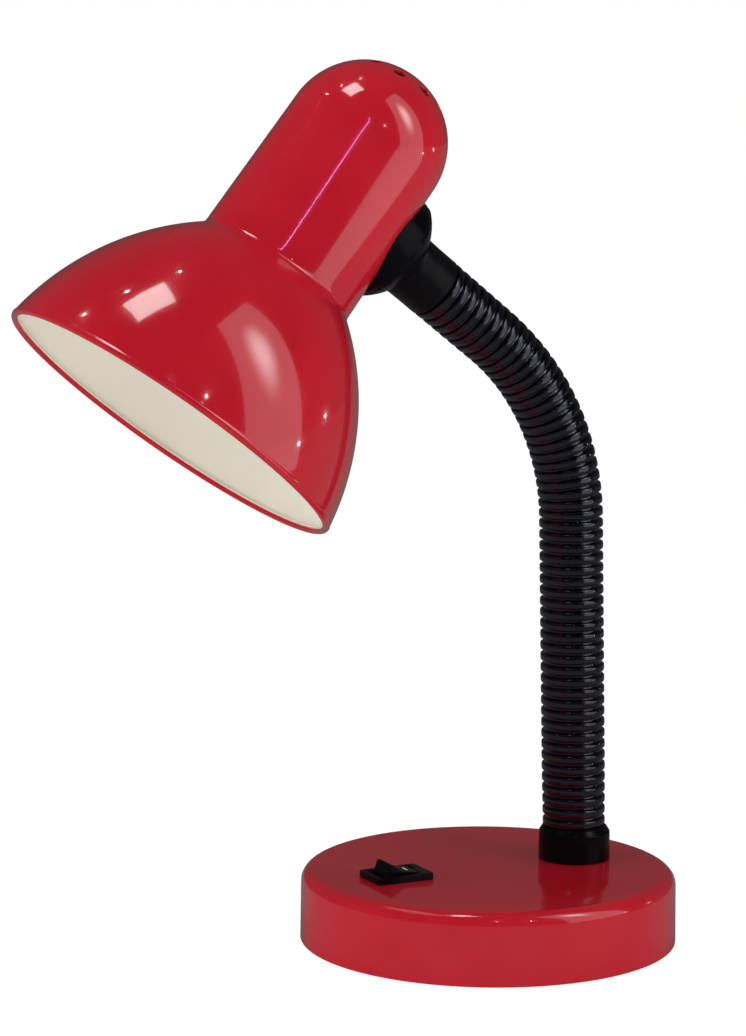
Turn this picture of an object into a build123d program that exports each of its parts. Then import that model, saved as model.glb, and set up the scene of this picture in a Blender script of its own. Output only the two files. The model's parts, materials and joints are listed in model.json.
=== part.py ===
from build123d import *
import math
import os

# Gooseneck desk lamp: a weighted round base with a rocker switch, a ribbed flexible neck and a
# bell-shaped shade with a vented dome. Millimetres. +Z is up, the light points towards -Y, and the
# origin is the centre of the underside. The lamp is symmetric about the plane X = 0.

# ---- driving dimensions: base ----
base_radius = 70.0
base_top_radius = 69.7
base_height = 26.8
base_edge_radius = 5.0
base_wall = 2.0
base_lift = 0.2                 # gap between the shell's rim and the table
pad_thickness = 1.6
pad_radius = 66.8
cover_thickness = 1.2
ballast_thickness = 9.0
ballast_radius = 62.0
cover_top = pad_thickness + cover_thickness
ballast_top = cover_top + ballast_thickness
ceiling = base_height - base_wall
cover_screw_circle = 50.0
cover_screw_angles = (25, 155, 205, 335)
cover_screw_radius = 1.9
cover_screw_head = 3.6
inlet_height = 14.5
inlet_radius = 5.0
inlet_bore = 3.3
terminal_y = 8.0
terminal_height = 9.0
wire_height = 15.5              # wires run level just above the ballast
wire_radius = 1.0
wire_bend = 3.5
cover_screw_spots = [
    (cover_screw_circle * math.cos(math.radians(a)), cover_screw_circle * math.sin(math.radians(a)))
    for a in cover_screw_angles
]

# ---- driving dimensions: rocker switch ----
switch_y = -38.4
bezel_length = 22.8
bezel_width = 16.4
bezel_top = base_height + 2.4
housing_length = 19.2
housing_width = 12.9
housing_bottom = 12.0
rocker_axis_z = 27.0
window_length = 15.0
window_width = 10.6
rocker_clearance = 0.2
trunnion_radius = 1.0

# ---- driving dimensions: neck ----
foot_y = 36.7                   # where the neck's centre line crosses height foot_z
foot_z = 30.0
neck_lean = 1.5                 # degrees, forwards, of the lower straight stretch
neck_bend_radius = 91.0
collar_radius = 13.5
collar_top = 39.4
head_ferrule_start = 40.5       # distances from the shade's axis
head_ferrule_end = 54.9
rib_count = 54
rib_width = 2.8
rib_radius = 12.0
groove_radius = 10.6
sleeve_bore = 8.4
first_joint_rib = 3
ribs_per_link = 7
joint_count = 8
core_radius = 4.8
core_bore = 2.9
ball_radius = 6.4
socket_radius = 6.6
cup_radius = 7.6
cup_mouth = 1.8                 # the socket's mouth stands this far past the ball's centre
lead_radius = 2.4

# ---- driving dimensions: head ----
light_tilt = 51.9               # degrees below level of the light's direction
rim_centre = Vector(0, -129.3, 199.1)
neck_station = 99.8             # distances along the shade's axis, from the rim plane
knuckle_station = 99.9
knuckle_offset = 17.3
knuckle_radius = 25.0
knuckle_foot_radius = 20.8
shade_wall = 1.0
rim_radius = 67.1
bell_mid = (56.7, 34.0)         # (radius, station) of a point half way up the bell
bell_end = (31.2, 65.7)
throat_radius = 30.4
crown_radius = 29.7
crown_station = 123.3
bead_radius = 1.4
vent_count = 10
vent_radius = 2.3
vent_circle = 17.4
spigot_radius = 7.5
bead_circle = 65.7
bracket_face = 27.0             # distance of the bracket's outer face from the shade's axis
bracket_thickness = 1.5
bracket_width = 14.0
bracket_top = 127.5
holder_radius = 17.0
holder_bore = 14.3
holder_mouth = 78.0             # distances along the shade's axis
holder_joint = 112.0
screw_shell_start = 84.0
bulb_tip = 17.0
bulb_radius = 27.5
bulb_cap_radius = 13.1
bulb_neck_radius = 12.6
bulb_cap_start = 91.0
bulb_cap_end = 113.0
bulb_insulator_end = 116.2
bulb_contact_end = 118.0

os.makedirs("parts", exist_ok=True)


def save(piece, name):
    """Label one finished piece and write it to its own STEP file."""
    piece.part.label = name
    export_step(piece.part, f"parts/{name}.step")


# ---- frames ----
tilt = math.radians(light_tilt)
lean = math.radians(neck_lean)
shade_axis = Vector(0, math.cos(tilt), math.sin(tilt))          # from the rim towards the crown
head_plane = Plane(origin=rim_centre, x_dir=(1, 0, 0), z_dir=shade_axis)
section_plane = Plane(origin=rim_centre, x_dir=(1, 0, 0), z_dir=-head_plane.y_dir)
head_axis = Axis(rim_centre, shade_axis)
start_direction = Vector(0, -math.sin(lean), math.cos(lean))
end_direction = -head_plane.y_dir                               # the neck runs in towards the shade


def head_point(x, y, station):
    """A point given across the shade's axis, towards the neck, and along the axis."""
    return head_plane.from_local_coords(Vector(x, y, station))


# ---- the neck's centre line: a straight, one arc, and a straight ----
neck_anchor = head_point(0, 0, neck_station)
foot = Vector(0, foot_y, foot_z)
gap = neck_anchor - foot
run_up = (gap.Y * end_direction.Z - gap.Z * end_direction.Y) / (
    start_direction.Y * end_direction.Z - start_direction.Z * end_direction.Y
)
corner = foot + start_direction * run_up
turn = math.acos(start_direction.dot(end_direction))
tangent_length = neck_bend_radius * math.tan(turn / 2)
neck_start = foot + start_direction * ((collar_top - foot_z) / math.cos(lean))
straight_length = (corner - neck_start).length - tangent_length
arc_end = straight_length + neck_bend_radius * turn
neck_length = arc_end + (neck_anchor - corner).length - tangent_length - head_ferrule_end
inward = Vector(0, -math.cos(lean), -math.sin(lean))
bend_centre = neck_start + start_direction * straight_length + inward * neck_bend_radius
rib_pitch = neck_length / rib_count
half_gap = rib_pitch - rib_width / 2
joints = [(first_joint_rib + ribs_per_link * n + 0.5) * rib_pitch for n in range(joint_count)]


def neck_point(s):
    """The centre line's point at distance s above the collar."""
    if s <= straight_length:
        return neck_start + start_direction * s
    if s >= arc_end:
        return neck_anchor - end_direction * (head_ferrule_end + neck_length - s)
    angle = (s - straight_length) / neck_bend_radius
    return bend_centre - inward.rotate(Axis.X, math.degrees(angle)) * neck_bend_radius


def neck_direction(s):
    """The centre line's direction at distance s above the collar."""
    angle = (s - straight_length) / neck_bend_radius
    return start_direction.rotate(Axis.X, math.degrees(min(max(angle, 0), turn)))


def neck_plane(s):
    """A plane across the neck at distance s, its x along X and its z up the neck."""
    return Plane(origin=neck_point(s), x_dir=(1, 0, 0), z_dir=neck_direction(s))


def neck_path(low, high):
    """The centre line between two distances, as lines and an arc."""
    with BuildLine() as path:
        for start, end, curved in (
            (low, min(high, straight_length), False),
            (max(low, straight_length), min(high, arc_end), True),
            (max(low, arc_end), high, False),
        ):
            if end - start > 0.01 and curved:
                ThreePointArc(neck_point(start), neck_point((start + end) / 2), neck_point(end))
            elif end - start > 0.01:
                Line(neck_point(start), neck_point(end))
    return path.line


def rod(path, plane, radius, mode=Mode.ADD):
    """Sweep a round section along a path, inside the open part."""
    with BuildSketch(plane) as section:
        Circle(radius)
    sweep(section.sketch, path=path, mode=mode)


def wire_run(points, bend):
    """A path through points with rounded corners."""
    with BuildLine() as path:
        FilletPolyline(*points, radius=bend)
    return path.line


def switch_wire_points(x):
    """One switch wire's route: from the terminal block, down beside the switch, to its blade."""
    return [
        (x, 0, wire_height),
        (x, -21, wire_height),
        (x, -21, 7),
        (x, switch_y + 2.4, 7),
    ]


# ================= base =================
with BuildPart() as base_shell:
    with BuildSketch(Plane.XZ):
        with BuildLine():
            Polyline(
                (0, base_height),
                (base_top_radius, base_height),
                (base_radius, base_lift),
                (base_radius - base_wall, base_lift),
                (base_top_radius - base_wall, ceiling),
                (0, ceiling),
                close=True,
            )
        make_face()
        fillet(vertices().sort_by_distance((base_top_radius, base_height))[0], base_edge_radius)
        inner_corner = (base_top_radius - base_wall, ceiling)
        fillet(vertices().sort_by_distance(inner_corner)[0], base_edge_radius - base_wall)
    revolve(axis=Axis.Z)
    with BuildSketch(Plane.XY.offset(ballast_top)):
        with Locations(*cover_screw_spots):
            Circle(4.0)
    extrude(amount=ceiling - ballast_top)
    with BuildSketch(Plane.XY.offset(ballast_top)):
        with Locations(*cover_screw_spots):
            Circle(cover_screw_radius)
    extrude(amount=8.5, mode=Mode.SUBTRACT)
    with BuildSketch(Plane.XY.offset(base_height)):
        with Locations((0, switch_y)):
            Rectangle(housing_width, housing_length)
        with Locations((0, foot_y)):
            Circle(5.4)
    extrude(amount=-base_wall, mode=Mode.SUBTRACT)
    with BuildSketch(Plane.XZ.offset(-base_radius - 1)):
        with Locations((0, inlet_height)):
            Circle(inlet_radius + 0.05)
    extrude(amount=5, mode=Mode.SUBTRACT)
save(base_shell, "base_shell")

with BuildPart() as base_pad:
    with BuildSketch():
        Circle(pad_radius)
        with Locations(*cover_screw_spots):
            Circle(4.5, mode=Mode.SUBTRACT)
    extrude(amount=pad_thickness)
save(base_pad, "base_pad")

with BuildPart() as base_cover:
    with BuildSketch(Plane.XY.offset(pad_thickness)):
        Circle(pad_radius)
        with Locations(*cover_screw_spots):
            Circle(2.2, mode=Mode.SUBTRACT)
    extrude(amount=cover_thickness)
save(base_cover, "base_cover")

with BuildPart() as ballast_plate:
    with BuildSketch(Plane.XY.offset(cover_top)):
        Circle(ballast_radius)
        with Locations(*cover_screw_spots):
            Circle(2.4, mode=Mode.SUBTRACT)
        with Locations((0, foot_y)):
            Circle(13, mode=Mode.SUBTRACT)
        with Locations((0, switch_y + 3.4)):
            Rectangle(28, 36, mode=Mode.SUBTRACT)
    extrude(amount=ballast_thickness)
    chamfer(ballast_plate.edges().filter_by(GeomType.CIRCLE).sort_by(SortBy.RADIUS)[-2:], 1)
save(ballast_plate, "ballast_plate")

with BuildPart() as cover_screws:
    with BuildSketch(Plane.XY.offset(pad_thickness)):
        with Locations(*cover_screw_spots):
            Circle(cover_screw_head)
    extrude(amount=-1.2)
    with BuildSketch(Plane.XY.offset(pad_thickness)):
        with Locations(*cover_screw_spots):
            Circle(cover_screw_radius)
    extrude(amount=17)
    with BuildSketch(Plane.XY.offset(pad_thickness - 1.2)):
        with Locations(*cover_screw_spots):
            Rectangle(4.4, 0.8)
            Rectangle(0.8, 4.4)
    extrude(amount=0.7, mode=Mode.SUBTRACT)
save(cover_screws, "cover_screws")

inlet_plane = Plane(origin=(0, base_radius, inlet_height), x_dir=(1, 0, 0), z_dir=(0, 1, 0))
with BuildPart() as inlet_bush:
    with BuildSketch(inlet_plane.offset(-4)):
        Circle(inlet_radius)
    extrude(amount=5.5)
    with BuildSketch(inlet_plane):
        Circle(6.6)
    extrude(amount=1.5)
    with BuildSketch(inlet_plane.offset(-4)):
        Circle(6.0)
    extrude(amount=1.4)
    chamfer(inlet_bush.edges().sort_by(Axis.Y)[-1], 0.5)
    with BuildSketch(inlet_plane.offset(-4)):
        Circle(inlet_bore)
    extrude(amount=5.5, mode=Mode.SUBTRACT)
save(inlet_bush, "inlet_bush")

with BuildPart() as terminal_block:
    with BuildSketch(Plane.XY.offset(ballast_top)):
        with Locations((0, terminal_y)):
            Rectangle(26, 16)
    extrude(amount=terminal_height)
    chamfer(terminal_block.edges().group_by(Axis.Z)[-1], 0.8)
    for x in (-6.5, 6.5):
        with BuildSketch(Plane.XY.offset(ballast_top + terminal_height)):
            with Locations((x, terminal_y - 4), (x, terminal_y + 4)):
                Circle(1.8)
        extrude(amount=-4, mode=Mode.SUBTRACT)
save(terminal_block, "terminal_block")

with BuildPart() as terminal_screws:
    with BuildSketch(Plane.XY.offset(ballast_top + terminal_height - 4)):
        with GridLocations(13, 8, 2, 2):
            with Locations((0, terminal_y)):
                Circle(1.7)
    extrude(amount=3)
    with BuildSketch(Plane.XY.offset(ballast_top + terminal_height - 1)):
        with GridLocations(13, 8, 2, 2):
            with Locations((0, terminal_y)):
                Rectangle(4, 0.6)
    extrude(amount=-0.8, mode=Mode.SUBTRACT)
save(terminal_screws, "terminal_screws")

# ================= switch =================
with BuildPart() as switch_housing:
    with BuildSketch(Plane.XY.offset(housing_bottom)):
        with Locations((0, switch_y)):
            Rectangle(housing_width, housing_length)
    extrude(amount=base_height - housing_bottom)
    with BuildSketch(Plane.XY.offset(base_height)):
        with Locations((0, switch_y)):
            RectangleRounded(bezel_width, bezel_length, 1.0)
    extrude(amount=bezel_top - base_height)
    chamfer(switch_housing.faces().sort_by(Axis.Z)[-1].edges(), 0.7)
    with BuildSketch(Plane.XY.offset(bezel_top)):
        with Locations((0, switch_y)):
            Rectangle(window_width, window_length)
    extrude(amount=-(bezel_top - 19.0), mode=Mode.SUBTRACT)
    with BuildSketch(Plane.XY.offset(housing_bottom)):
        with Locations((-3.5, switch_y), (3.5, switch_y)):
            Rectangle(0.8, 4.8)
    extrude(amount=6.0, mode=Mode.SUBTRACT)
    with BuildSketch(Plane.YZ.offset(-6.1)):
        with Locations((switch_y, rocker_axis_z)):
            Circle(trunnion_radius + 0.08)
    extrude(amount=12.2, mode=Mode.SUBTRACT)
save(switch_housing, "switch_housing")

with BuildPart() as switch_contacts:
    with BuildSketch(Plane.XY.offset(5)):
        with Locations((-3.5, switch_y), (3.5, switch_y)):
            Rectangle(0.8, 4.8)
    extrude(amount=housing_bottom + 1)
save(switch_contacts, "switch_contacts")

with BuildPart() as rocker:
    half_width = window_width / 2 - rocker_clearance
    with BuildSketch(Plane.YZ.offset(-half_width)):
        with BuildLine():
            Polyline(
                (switch_y - 6.9, rocker_axis_z + 1.8),
                (switch_y - 5.4, rocker_axis_z + 6.1),
                (switch_y - 4.5, rocker_axis_z + 6.4),
                (switch_y - 0.4, rocker_axis_z + 3.4),
                (switch_y + 6.7, rocker_axis_z + 2.3),
                (switch_y + 7.0, rocker_axis_z + 1.5),
                (switch_y + 6.2, rocker_axis_z - 3.5),
                (switch_y - 6.2, rocker_axis_z - 3.5),
                close=True,
            )
        make_face()
    extrude(amount=2 * half_width)
    with BuildSketch(Plane.YZ.offset(-5.9)):
        with Locations((switch_y, rocker_axis_z)):
            Circle(trunnion_radius)
    extrude(amount=11.8)
save(rocker, "rocker")

with BuildPart() as switch_wires:
    for x in (-3.5, 3.5):
        path = wire_run(switch_wire_points(x), wire_bend)
        rod(path, Plane(origin=(x, 0, wire_height), z_dir=(0, -1, 0)), wire_radius)
save(switch_wires, "switch_wires")

# ================= neck foot =================
with BuildPart() as base_collar:
    with BuildSketch(Plane.XY.offset(base_height)):
        with Locations((0, foot_y)):
            Circle(collar_radius)
    extrude(amount=collar_top - base_height)
    chamfer(base_collar.edges().group_by(Axis.Z)[-1], 2.3, 1.2)
    with BuildSketch(Plane.XY.offset(base_height + 3)):
        with Locations((0, foot_y)):
            Circle(groove_radius + 0.4)
    extrude(amount=collar_top, mode=Mode.SUBTRACT)
    with BuildSketch(Plane.XY.offset(base_height)):
        with Locations((0, foot_y)):
            Circle(5.4)
    extrude(amount=3, mode=Mode.SUBTRACT)
save(base_collar, "base_collar")

with BuildPart() as neck_nut:
    with BuildSketch(Plane.XY.offset(ceiling)):
        with Locations((0, foot_y)):
            Circle(9.5)
            Circle(core_radius + 0.1, mode=Mode.SUBTRACT)
    extrude(amount=-1.0)
    with BuildSketch(Plane.XY.offset(ceiling - 1.0)):
        with Locations((0, foot_y)):
            RegularPolygon(8.5, 6, major_radius=False)
            Circle(core_radius + 0.1, mode=Mode.SUBTRACT)
    extrude(amount=-3.8)
save(neck_nut, "neck_nut")

# ================= neck links =================
stud_bottom = 18.5
for n in range(joint_count + 1):
    first_link = n == 0
    last_link = n == joint_count
    sleeve_low = -6.0 if first_link else joints[n - 1] + half_gap
    sleeve_high = neck_length + 6.0 if last_link else joints[n] - half_gap
    first_rib = 0 if first_link else first_joint_rib + ribs_per_link * (n - 1) + 1
    last_rib = rib_count if last_link else first_joint_rib + ribs_per_link * n

    with BuildPart() as neck_sleeve:
        tube_path = neck_path(sleeve_low, sleeve_high)
        rod(tube_path, neck_plane(sleeve_low), groove_radius)
        for rib in range(first_rib, last_rib):
            place = neck_plane((rib + 0.5) * rib_pitch)
            rib_section = Plane(origin=place.origin, x_dir=place.z_dir, z_dir=(1, 0, 0))
            with BuildSketch(rib_section):
                with Locations((0, (groove_radius + rib_radius) / 2 - 0.4)):
                    Rectangle(rib_width, rib_radius - groove_radius + 0.8)
                fillet(vertices().group_by(Axis.Y)[-1], 0.8)
            revolve(axis=Axis(place.origin, place.z_dir))
        rod(tube_path, neck_plane(sleeve_low), sleeve_bore, Mode.SUBTRACT)
    save(neck_sleeve, f"neck_sleeve_{n + 1}")

    core_low = -5.0 if first_link else joints[n - 1]
    core_high = neck_length + head_ferrule_end - 22.0 if last_link else joints[n] - socket_radius
    with BuildPart() as neck_core:
        rod(neck_path(core_low, core_high), neck_plane(core_low), core_radius)
        if first_link:
            with BuildSketch(Plane.XY.offset(stud_bottom)):
                with Locations((0, foot_y)):
                    Circle(core_radius)
            extrude(amount=neck_point(core_low + 1).Z - stud_bottom)
        else:
            with Locations(neck_plane(joints[n - 1])):
                Sphere(ball_radius)
        if not last_link:
            with Locations(neck_plane(joints[n])):
                Sphere(cup_radius)
                Sphere(socket_radius, mode=Mode.SUBTRACT)
            with BuildSketch(neck_plane(joints[n] + cup_mouth)):
                Circle(cup_radius + 1)
            extrude(amount=cup_radius, mode=Mode.SUBTRACT)
        bore_low = core_low - (1 if first_link else ball_radius + 1)
        rod(neck_path(bore_low, core_high + 1), neck_plane(bore_low), core_bore, Mode.SUBTRACT)
        if first_link:
            with BuildSketch(Plane.XY.offset(stud_bottom)):
                with Locations((0, foot_y)):
                    Circle(core_bore)
            extrude(amount=neck_point(core_low + 1).Z - stud_bottom, mode=Mode.SUBTRACT)
    save(neck_core, f"neck_core_{n + 1}")

    if not first_link and not last_link:
        lead_low = joints[n - 1] - ball_radius + 0.8
        lead_high = joints[n] - socket_radius - 0.3
        with BuildPart() as neck_lead:
            rod(neck_path(lead_low, lead_high), neck_plane(lead_low), lead_radius)
        save(neck_lead, f"neck_lead_{n + 1}")

with BuildPart() as base_lead:
    lead_low = -4.0
    lead_high = joints[0] - socket_radius - 0.3
    rod(neck_path(lead_low, lead_high), neck_plane(lead_low), lead_radius)
    for x in (-wire_radius - 0.1, wire_radius + 0.1):
        start_height = neck_point(lead_low + 1).Z
        wire_points = [(x, foot_y, start_height), (x, foot_y, wire_height), (x, 16, wire_height)]
        wire_start = Plane.XY.offset(start_height).shift_origin(wire_points[0])
        rod(wire_run(wire_points, 3.0), wire_start, wire_radius)
save(base_lead, "base_lead")

# ================= head: neck fixing =================
neck_entry = Plane(origin=neck_anchor, x_dir=(-1, 0, 0), z_dir=head_plane.y_dir)

with BuildPart() as head_ferrule:
    with BuildSketch(neck_entry.offset(head_ferrule_start)):
        Circle(rib_radius - 0.1)
    extrude(amount=head_ferrule_end - head_ferrule_start)
    outer_end = Axis(neck_anchor, neck_entry.z_dir)
    fillet(head_ferrule.edges().group_by(outer_end)[-1], 0.6)
    with BuildSketch(neck_entry.offset(head_ferrule_end - 7)):
        Circle(groove_radius + 0.2)
    extrude(amount=8, mode=Mode.SUBTRACT)
    with BuildSketch(neck_entry.offset(head_ferrule_start)):
        Circle(core_radius + 0.1)
    extrude(amount=10, mode=Mode.SUBTRACT)
save(head_ferrule, "head_ferrule")

with BuildPart() as knuckle:
    with Locations(head_plane.offset(knuckle_station)):
        with Locations((0, knuckle_offset, 0)):
            Sphere(knuckle_radius)
    with BuildSketch(head_plane):
        Circle(throat_radius)
    extrude(amount=crown_station + crown_radius, mode=Mode.SUBTRACT)
    with BuildSketch(neck_entry):
        Circle(knuckle_foot_radius)
    extrude(amount=60, mode=Mode.INTERSECT)
    with BuildSketch(neck_entry.offset(bracket_face)):
        Circle(spigot_radius)
    extrude(amount=10)
    with BuildSketch(neck_entry.offset(head_ferrule_start)):
        Circle(rib_radius)
    extrude(amount=10, mode=Mode.SUBTRACT)
    with BuildSketch(neck_entry.offset(bracket_face)):
        Circle(core_radius + 0.1)
    extrude(amount=20, mode=Mode.SUBTRACT)
save(knuckle, "knuckle")

with BuildPart() as head_nut:
    with BuildSketch(neck_entry.offset(bracket_face - bracket_thickness)):
        RegularPolygon(7.5, 6, major_radius=False)
        Circle(core_radius + 0.05, mode=Mode.SUBTRACT)
    extrude(amount=-3)
save(head_nut, "head_nut")


# ================= head: shade =================
def circle_through(a, b, c):
    """Centre and radius of the circle through three (radius, station) points."""
    d = 2 * (a[0] * (b[1] - c[1]) + b[0] * (c[1] - a[1]) + c[0] * (a[1] - b[1]))
    squares = [p[0] ** 2 + p[1] ** 2 for p in (a, b, c)]
    x = (squares[0] * (b[1] - c[1]) + squares[1] * (c[1] - a[1]) + squares[2] * (a[1] - b[1])) / d
    y = (squares[0] * (c[0] - b[0]) + squares[1] * (a[0] - c[0]) + squares[2] * (b[0] - a[0])) / d
    return x, y, math.hypot(a[0] - x, a[1] - y)


bell_x, bell_y, bell_radius = circle_through((rim_radius, 0), bell_mid, bell_end)


def shade_side(inset):
    """Draw one side of the shade's wall, from the bead to the crown, in the open line."""
    radius = bell_radius - inset
    throat = throat_radius - inset
    start_angle = math.asin((bead_radius - bell_y) / radius)
    end_angle = math.acos((throat - bell_x) / radius)
    spots = []
    for share in (0, 0.5, 1):
        angle = start_angle + share * (end_angle - start_angle)
        spots.append((bell_x + radius * math.cos(angle), bell_y + radius * math.sin(angle)))
    crown = crown_radius - inset
    ThreePointArc(*spots)
    Line(spots[2], (crown, crown_station))
    CenterArc((0, crown_station), crown, 0, 90)
    return spots[0]


with BuildPart() as shade:
    with BuildSketch(section_plane):
        with BuildLine():
            outer_rim = shade_side(0)
            inner_rim = shade_side(shade_wall)
            Line(outer_rim, inner_rim)
            crown_top = crown_station + crown_radius
            Line((0, crown_top), (0, crown_top - shade_wall))
        make_face()
    revolve(axis=head_axis)
    with BuildSketch(section_plane):
        with Locations((bead_circle, bead_radius)):
            Circle(bead_radius)
    revolve(axis=head_axis)
    with BuildSketch(neck_entry.offset(20)):
        Circle(spigot_radius + 0.1)
    extrude(amount=20, mode=Mode.SUBTRACT)
    crown_centre = head_point(0, 0, crown_station)
    vent_rise = math.sqrt(crown_radius ** 2 - vent_circle ** 2)
    for n in range(vent_count):
        around = math.radians(n * 360 / vent_count)
        spot = head_point(
            vent_circle * math.cos(around),
            vent_circle * math.sin(around),
            crown_station + vent_rise,
        )
        with BuildSketch(Plane(origin=spot, z_dir=spot - crown_centre).offset(-4)):
            Circle(vent_radius)
        extrude(amount=8, mode=Mode.SUBTRACT)
save(shade, "shade")

# ================= head: lampholder =================
plate_bottom = bracket_top - bracket_thickness
with BuildPart() as holder_bracket:
    with BuildSketch(neck_entry.offset(bracket_face)):
        with Locations((0, (bracket_top - neck_station - 10) / 2)):
            Rectangle(bracket_width, bracket_top - neck_station + 10)
    extrude(amount=-bracket_thickness)
    with BuildSketch(head_plane.offset(plate_bottom)):
        with Locations((0, (bracket_face - 10) / 2)):
            Rectangle(bracket_width, bracket_face + 10)
    extrude(amount=bracket_thickness)
    with BuildSketch(head_plane.offset(plate_bottom)):
        Circle(5.1)
        with Locations((0, 19.3)):
            Rectangle(7, 5)
    extrude(amount=bracket_thickness, mode=Mode.SUBTRACT)
    with BuildSketch(neck_entry.offset(bracket_face)):
        Circle(core_radius + 0.1)
    extrude(amount=-bracket_thickness, mode=Mode.SUBTRACT)
save(holder_bracket, "holder_bracket")

with BuildPart() as holder_nipple:
    with BuildSketch(head_plane.offset(plate_bottom - 4)):
        Circle(5.0)
        Circle(3.4, mode=Mode.SUBTRACT)
    extrude(amount=10)
save(holder_nipple, "holder_nipple")

with BuildPart() as holder_locknut:
    with BuildSketch(head_plane.offset(bracket_top)):
        RegularPolygon(7.0, 6, major_radius=False)
        Circle(5.05, mode=Mode.SUBTRACT)
    extrude(amount=3)
save(holder_locknut, "holder_locknut")

with BuildPart() as holder_cap:
    with BuildSketch(head_plane.offset(holder_joint)):
        Circle(holder_radius)
    extrude(amount=plate_bottom - holder_joint)
    cap_top = holder_cap.edges().group_by(head_axis)[-1]
    fillet(cap_top, 3)
    with BuildSketch(head_plane.offset(holder_joint)):
        Circle(holder_radius - 2)
    extrude(amount=plate_bottom - holder_joint - 3.5, mode=Mode.SUBTRACT)
    with BuildSketch(head_plane.offset(plate_bottom - 5)):
        Circle(5.05)
    extrude(amount=6, mode=Mode.SUBTRACT)
save(holder_cap, "holder_cap")

with BuildPart() as holder_body:
    with BuildSketch(head_plane.offset(holder_mouth)):
        Circle(holder_radius)
        Circle(holder_bore, mode=Mode.SUBTRACT)
    extrude(amount=holder_joint - holder_mouth)
    chamfer(holder_body.edges().group_by(head_axis)[0], 0.8)
save(holder_body, "holder_body")

with BuildPart() as screw_shell:
    with BuildSketch(head_plane.offset(screw_shell_start)):
        Circle(holder_bore - 0.2)
        Circle(bulb_cap_radius + 0.3, mode=Mode.SUBTRACT)
    extrude(amount=holder_joint - screw_shell_start)
save(screw_shell, "screw_shell")

with BuildPart() as holder_insert:
    with BuildSketch(head_plane.offset(holder_joint)):
        Circle(14.8)
        Circle(bulb_cap_radius + 0.3, mode=Mode.SUBTRACT)
    extrude(amount=10)
    with BuildSketch(head_plane.offset(119.5)):
        Circle(14.8)
        Circle(3.0, mode=Mode.SUBTRACT)
    extrude(amount=2.5)
save(holder_insert, "holder_insert")

with BuildPart() as centre_contact:
    with BuildSketch(head_plane.offset(bulb_contact_end + 0.7)):
        Rectangle(7, 16)
    extrude(amount=0.8)
save(centre_contact, "centre_contact")

with BuildPart() as head_wires:
    lead_low = joints[-1] - ball_radius + 0.8
    lead_high = neck_length + head_ferrule_end - 30
    rod(neck_path(lead_low, lead_high), neck_plane(lead_low), lead_radius)
    for x in (-wire_radius - 0.1, wire_radius + 0.1):
        stops = (
            (x, 31, neck_station),
            (x, 19.3, neck_station),
            (x, 19.3, 136),
            (x, 0, 136),
            (x, 0, 122),
        )
        route = wire_run([head_point(*stop) for stop in stops], 3.0)
        start = Plane(origin=head_point(*stops[0]), z_dir=end_direction)
        rod(route, start, wire_radius)
save(head_wires, "head_wires")


# ================= bulb =================
def bulb_side(inset):
    """Draw one side of the bulb's glass, from its tip to its neck, in the open line."""
    radius = bulb_radius - inset
    centre = bulb_tip + bulb_radius
    neck = bulb_neck_radius - inset
    sweep_end = math.radians(35)
    shoulder = (radius * math.cos(sweep_end), centre + radius * math.sin(sweep_end))
    mid = (radius * math.cos(sweep_end - 0.9), centre + radius * math.sin(sweep_end - 0.9))
    tip = (0, centre - radius)
    ThreePointArc(tip, mid, shoulder)
    tangent = (-math.sin(sweep_end), math.cos(sweep_end))
    Spline(shoulder, (neck, bulb_cap_start), tangents=(tangent, (0, 1)))
    return tip, (neck, bulb_cap_start)


with BuildPart() as bulb_glass:
    with BuildSketch(section_plane):
        with BuildLine():
            outer_tip, outer_end = bulb_side(0)
            inner_tip, inner_end = bulb_side(0.9)
            Line(outer_tip, inner_tip)
            Line(outer_end, inner_end)
        make_face()
    revolve(axis=head_axis)
save(bulb_glass, "bulb_glass")

with BuildPart() as bulb_stem:
    with BuildSketch(head_plane.offset(62)):
        Circle(2.0)
    extrude(amount=22)
    with BuildSketch(head_plane.offset(84)):
        Circle(6.0)
    extrude(amount=7)
save(bulb_stem, "bulb_stem")

with BuildPart() as bulb_filament:
    support_points = (
        head_point(0, -3, 83.8),
        head_point(0, -11, 58),
        head_point(0, 11, 58),
        head_point(0, 3, 83.8),
    )
    filament_start = Plane(origin=support_points[0], z_dir=support_points[1] - support_points[0])
    rod(wire_run(support_points, 3.0), filament_start, 0.4)
save(bulb_filament, "bulb_filament")

with BuildPart() as bulb_cap:
    with BuildSketch(head_plane.offset(bulb_cap_start)):
        Circle(bulb_cap_radius)
        Circle(bulb_cap_radius - 0.4, mode=Mode.SUBTRACT)
    extrude(amount=bulb_cap_end - bulb_cap_start)
save(bulb_cap, "bulb_cap")

with BuildPart() as bulb_insulator:
    with BuildSketch(head_plane.offset(bulb_cap_end)):
        Circle(bulb_cap_radius)
    extrude(amount=bulb_insulator_end - bulb_cap_end, taper=50)
save(bulb_insulator, "bulb_insulator")

with BuildPart() as bulb_contact:
    with BuildSketch(head_plane.offset(bulb_insulator_end)):
        Circle(4.5)
    extrude(amount=bulb_contact_end - bulb_insulator_end)
save(bulb_contact, "bulb_contact")
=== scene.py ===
import json
import math
import bmesh
import bpy
from mathutils import Matrix, Vector


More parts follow.
